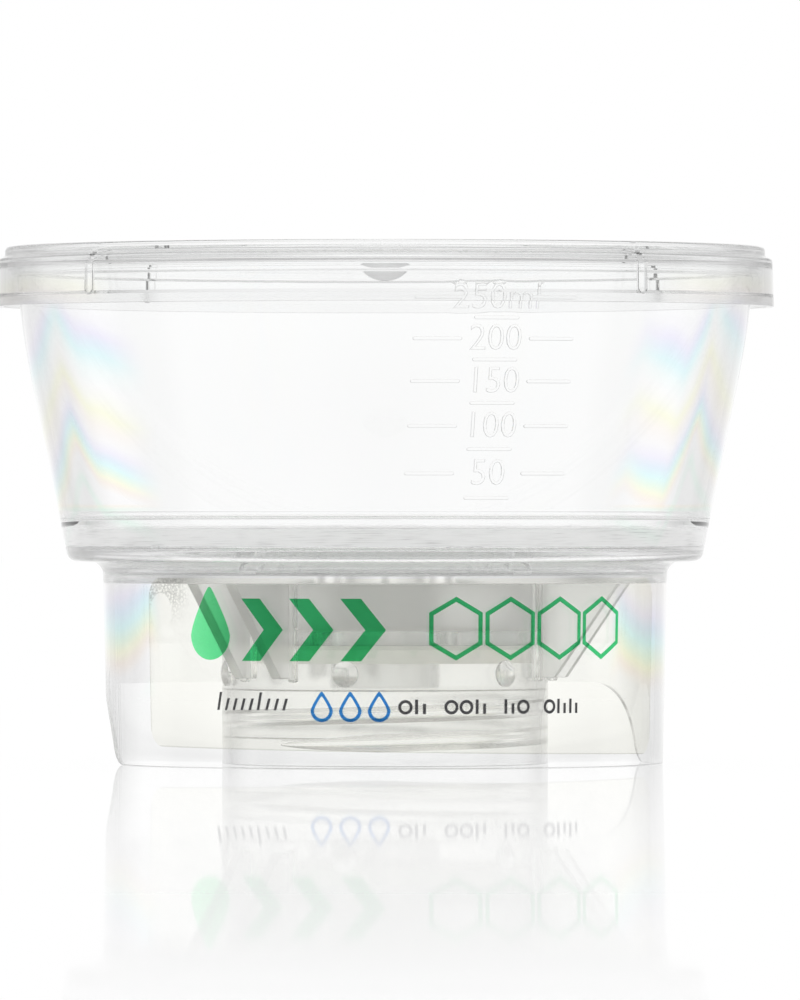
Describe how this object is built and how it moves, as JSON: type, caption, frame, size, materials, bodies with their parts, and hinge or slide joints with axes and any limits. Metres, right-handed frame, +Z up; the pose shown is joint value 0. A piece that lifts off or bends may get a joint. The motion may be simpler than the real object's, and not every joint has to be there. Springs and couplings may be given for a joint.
{
  "type": "bottle-top vacuum filter",
  "caption": "Clear bottle-top vacuum filter: a lidded tapered cup over a membrane, on a skirted base with a threaded bottle collar and a hose barb.",
  "frame": {"origin": "on the bottle's axis, in the plane of the skirt's lower edge", "axes": "+Z up along the axis towards the lid; -Y is the labelled front; the hose barb points along +Y"},
  "size_m": [0.1144, 0.1144, 0.0759],
  "materials": {
    "clear_polystyrene": "clear, polished moulding",
    "membrane_white": "fine porous white film",
    "silicone": "translucent soft silicone",
    "natural_polypropylene": "milky moulding",
    "fibre_white": "pressed white fibre",
    "label_film": "clear printed film"
  },
  "bodies": {
    "base": {"base_housing": "clear_polystyrene", "funnel_cup": "clear_polystyrene", "membrane": "membrane_white", "neck_gasket": "silicone", "hose_connector": "natural_polypropylene", "port_filter": "fibre_white", "label": "label_film"},
    "lid": {"lid": "clear_polystyrene"}
  },
  "joints": [
    {"name": "lid_lift", "type": "slide", "parent": "base", "child": "lid", "axis": [0, 0, 1], "range_m": [0, 0.05]}
  ]
}
